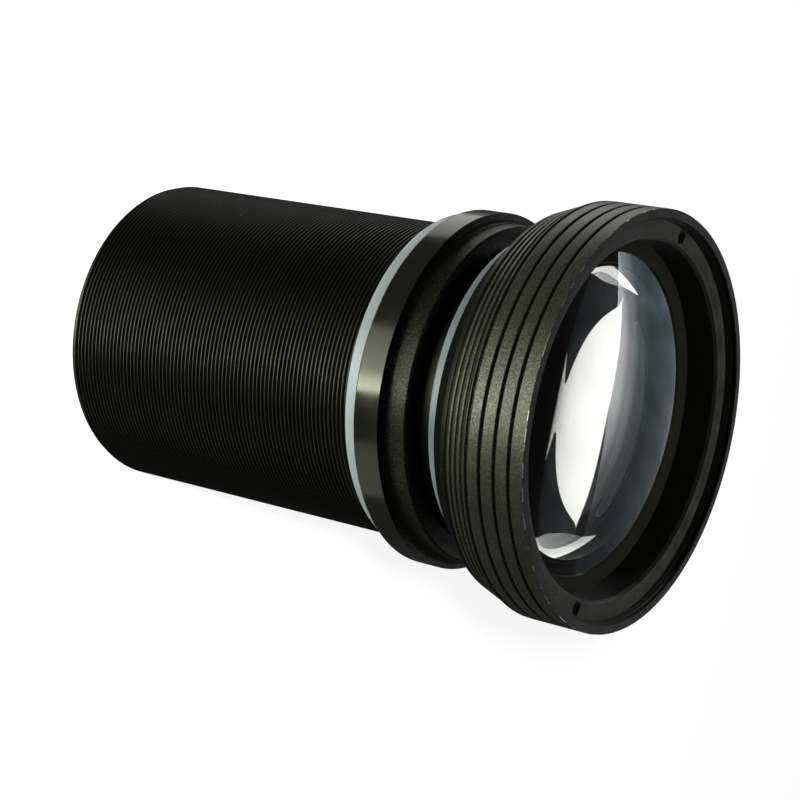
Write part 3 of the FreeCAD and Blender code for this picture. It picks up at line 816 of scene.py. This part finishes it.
camera_data = bpy.data.cameras.new("camera")
camera_data.lens = CAMERA_LENS
camera_data.sensor_width = SENSOR_WIDTH
camera_data.clip_start = 0.01
camera = bpy.data.objects.new("camera", camera_data)
bpy.context.scene.collection.objects.link(camera)
camera_back = Vector((
    math.cos(CAMERA_AZIMUTH) * math.cos(CAMERA_ELEVATION),
    math.sin(CAMERA_AZIMUTH) * math.cos(CAMERA_ELEVATION),
    math.sin(CAMERA_ELEVATION),
))
level_right = Vector((0, 0, 1)).cross(camera_back).normalized()
level_up = camera_back.cross(level_right)
camera_up = level_up * math.cos(CAMERA_ROLL) + level_right * math.sin(CAMERA_ROLL)
camera_right = camera_up.cross(camera_back)
turn = Matrix((camera_right, camera_up, camera_back)).transposed().to_4x4()
camera.matrix_world = Matrix.Translation(CAMERA_TARGET + camera_back * CAMERA_DISTANCE) @ turn
bpy.context.scene.camera = camera


# Floor and light

FLOOR_REACH = 6.0
FLOOR_GLOW = 0.86
STUDIO_GLOW = 0.05
LIGHT_AIM = Vector((0, 0, 90)) * MM
GLASS_LIGHT_SIDE = (0.643, -0.05, -0.766)
UNMIRRORED = ("head", "rim_thread", "front-retaining-ring", "glass-clamp-ring")
FOOT_LAMP_INSET = 5.5
FOOT_LAMP_DROP = 3.0
FOOT_LAMP_RADIUS = 1.5


def make_group(name, members):
    group = bpy.data.collections.new(name)
    for member in members:
        group.objects.link(member)
    return group


def make_floor():
    """A pale floor that shows to the camera alone."""
    mesh = bpy.data.meshes.new("floor")
    signs = ((-1, -1), (1, -1), (1, 1), (-1, 1))
    corners = [(x * FLOOR_REACH, y * FLOOR_REACH, 0) for x, y in signs]
    mesh.from_pydata(corners, [], [(0, 1, 2, 3)])
    floor = bpy.data.objects.new("floor", mesh)
    bpy.context.scene.collection.objects.link(floor)
    material, nodes, links = new_material("floor_white")
    shader = nodes["Principled BSDF"]
    shader.inputs["Base Color"].default_value = (0.9, 0.9, 0.9, 1)
    shader.inputs["Roughness"].default_value = 1.0
    shader.inputs["Specular IOR Level"].default_value = 0.0
    shader.inputs["Emission Color"].default_value = (1, 1, 1, 1)
    shader.inputs["Emission Strength"].default_value = FLOOR_GLOW
    mesh.materials.append(material)
    floor.visible_glossy = False
    floor.visible_diffuse = False
    floor.visible_shadow = False
    floor.visible_transmission = False
    return floor


def soft_box(name, toward, distance, width, height, radiance, lit,
             colour=(1, 1, 1), shape="RECTANGLE"):
    """A soft box that faces the lens; toward is (right, up, back) as the camera sees it."""
    data = bpy.data.lights.new(name, "AREA")
    data.shape = shape
    data.size = width
    data.size_y = height
    data.energy = radiance * math.pi * width * height
    data.color = colour
    if shape == "ELLIPSE":
        data.energy *= math.pi / 4
    box = bpy.data.objects.new(name, data)
    bpy.context.scene.collection.objects.link(box)
    right, up, back = toward
    direction = (camera_right * right + camera_up * up + camera_back * back).normalized()
    across = camera_up.cross(direction).normalized()
    upright = direction.cross(across)
    facing = Matrix((across, upright, direction)).transposed().to_4x4()
    box.matrix_world = Matrix.Translation(LIGHT_AIM + direction * distance) @ facing
    box.visible_camera = False
    box.visible_transmission = False
    box.light_linking.receiver_collection = lit
    return box


def fade_light(box, axis, stops):
    """Let a soft box change along its width (X) or height (Y), by (place, colour) stops."""
    box.data.use_nodes = True
    nodes = box.data.node_tree.nodes
    links = box.data.node_tree.links
    place = nodes.new("ShaderNodeNewGeometry")
    parts = nodes.new("ShaderNodeSeparateXYZ")
    links.new(place.outputs["Parametric"], parts.inputs["Vector"])
    ramp = nodes.new("ShaderNodeValToRGB")
    ramp.color_ramp.interpolation = "EASE"
    while len(ramp.color_ramp.elements) < len(stops):
        ramp.color_ramp.elements.new(0.5)
    for element, (where, tone) in zip(ramp.color_ramp.elements, stops):
        element.position = where
        element.color = (*tone, 1)
    links.new(parts.outputs[axis], ramp.inputs["Fac"])
    links.new(ramp.outputs["Color"], nodes["Emission"].inputs["Color"])
    return nodes, links, parts


def vary_strength(nodes, links, parts, bottom, top, start, end, streaked):
    """Change a soft box's strength over its height, perhaps with slanting streaks."""
    fall = spread(nodes, links, parts.outputs["Y"], bottom, top, start, end)
    if not streaked:
        links.new(fall, nodes["Emission"].inputs["Strength"])
        return
    place = nodes.new("ShaderNodeNewGeometry")
    turn = nodes.new("ShaderNodeMapping")
    turn.inputs["Rotation"].default_value = (0, 0, math.radians(35))
    turn.inputs["Scale"].default_value = (2.0, 14.0, 1.0)
    links.new(place.outputs["Parametric"], turn.inputs["Vector"])
    pattern = nodes.new("ShaderNodeTexNoise")
    pattern.inputs["Scale"].default_value = 1.0
    links.new(turn.outputs["Vector"], pattern.inputs["Vector"])
    streaks = spread(nodes, links, pattern.outputs["Fac"], 0.6, 1.3)
    both = nodes.new("ShaderNodeMath")
    both.operation = "MULTIPLY"
    links.new(streaks, both.inputs[0])
    links.new(fall, both.inputs[1])
    links.new(both.outputs["Value"], nodes["Emission"].inputs["Strength"])


lens_parts = make_group("lens_parts", [o for o in bpy.context.scene.objects if o.type == "MESH"])
floor_parts = make_group("floor_parts", [make_floor()])
front_glass = make_group("front_glass", [bpy.data.objects["front-lens"]])
clamp_parts = make_group("clamp_parts", [bpy.data.objects["glass-clamp-ring"]])
own_light = [*front_glass.objects, *clamp_parts.objects]
metal_parts = make_group("metal_parts", [o for o in lens_parts.objects if o not in own_light])
rear_parts = make_group("rear_parts", [o for o in metal_parts.objects if o.name != "head"])

key = soft_box("key", (-0.90, 0.28, 0.33), 0.7, 0.6, 0.42, 16.0, lens_parts, (0.98, 1.0, 0.93))
fade_light(key, "Y", ((0.0, (1, 1, 1)), (0.36, (0.21, 0.21, 0.21)), (1.0, (0.10, 0.10, 0.10))))
soft_box("low", (-0.80, -0.58, 0.0), 0.8, 0.5, 0.3, 0.6, rear_parts)
soft_box("top", (-0.02, 0.74, -0.66), 0.8, 0.8, 0.4, 1.3, lens_parts)
side = soft_box("side", (0.67, -0.05, -0.74), 0.7, 0.62, 0.9, 2.2, metal_parts, (0.93, 0.97, 1.0))
fade_light(side, "X", ((0.0, (1, 1, 1)), (0.26, (0.04, 0.04, 0.04))))
sheen = soft_box("sheen", GLASS_LIGHT_SIDE, 0.7, 0.80, 0.74, 4.5, front_glass, shape="ELLIPSE")
sheen_nodes = fade_light(sheen, "X", (
    (0.0, (1.0, 1.0, 1.0)),
    (0.06, (0.82, 0.84, 0.84)),
    (0.14, (0.26, 0.29, 0.30)),
    (0.23, (0.04, 0.05, 0.055)),
    (0.33, (0.0, 0.0, 0.0)),
))
vary_strength(*sheen_nodes, 0.3, 1.0, 0.22, 0.42, False)
veil = soft_box("veil", GLASS_LIGHT_SIDE, 0.72, 0.82, 0.76, 0.8, front_glass, shape="ELLIPSE")
veil_nodes = fade_light(veil, "X", (
    (0.0, (0.18, 0.28, 0.30)),
    (0.40, (0.16, 0.25, 0.28)),
    (0.60, (0.22, 0.28, 0.31)),
    (0.80, (0.38, 0.40, 0.42)),
))
vary_strength(*veil_nodes, 0.3, 1.5, 0.2, 0.7, True)
soft_box("clamp_light", (-0.2, 0.3, 0.9), 0.6, 0.5, 0.5, 0.5, clamp_parts)
for name in UNMIRRORED:
    bpy.data.objects[name].visible_glossy = False
flash = soft_box("flash", (0.0, 0.04, 1.0), 0.45, 0.03, 0.03, 500.0, floor_parts)
flash.visible_glossy = False


def hide_light(light, glossy=False):
    """Keep a small inner light out of sight; only what it lights shows."""
    light.visible_camera = False
    light.visible_transmission = False
    light.visible_glossy = glossy
    light.light_linking.receiver_collection = lens_parts


def rim_glow(radiance, inner, outer, height, width, azimuth):
    """A strip over the third lens that its polished bevel mirrors."""
    data = bpy.data.lights.new("rim_glow", "AREA")
    data.shape = "RECTANGLE"
    data.size = width * MM
    data.size_y = (outer - inner) * MM
    data.energy = radiance * math.pi * data.size * data.size_y
    strip = bpy.data.objects.new("rim_glow", data)
    bpy.context.scene.collection.objects.link(strip)
    middle = (inner + outer) / 2
    angle = math.radians(azimuth)
    level = heights("third_lens")[1] + height
    strip.location = Vector((middle * math.cos(angle), middle * math.sin(angle), level)) * MM
    strip.rotation_euler = (0, 0, angle - math.pi / 2)
    hide_light(strip, glossy=True)


def foot_glow(name, power, azimuth):
    """A small lamp under the front lens, near the bright foot of its spacer."""
    data = bpy.data.lights.new(name, "POINT")
    data.shadow_soft_size = FOOT_LAMP_RADIUS * MM
    data.energy = power
    lamp = bpy.data.objects.new(name, data)
    bpy.context.scene.collection.objects.link(lamp)
    reach = SECOND_LENS_RADIUS - FOOT_LAMP_INSET
    angle = math.radians(azimuth)
    level = heights("front_lens")[0] - FOOT_LAMP_DROP
    lamp.location = Vector((reach * math.cos(angle), reach * math.sin(angle), level)) * MM
    hide_light(lamp)


rim_glow(radiance=1.75, inner=19.2, outer=27.0, height=5.0, width=22.0, azimuth=-82.0)
foot_glow("foot_glow_right", 0.0034, -26.0)
foot_glow("foot_glow_left", 0.0056, -150.0)

world = bpy.data.worlds.new("studio")
bpy.context.scene.world = world
world.use_nodes = True
world.node_tree.nodes["Background"].inputs["Color"].default_value = (1, 1, 1, 1)
world.node_tree.nodes["Background"].inputs["Strength"].default_value = STUDIO_GLOW

bpy.context.scene.view_settings.view_transform = "Standard"
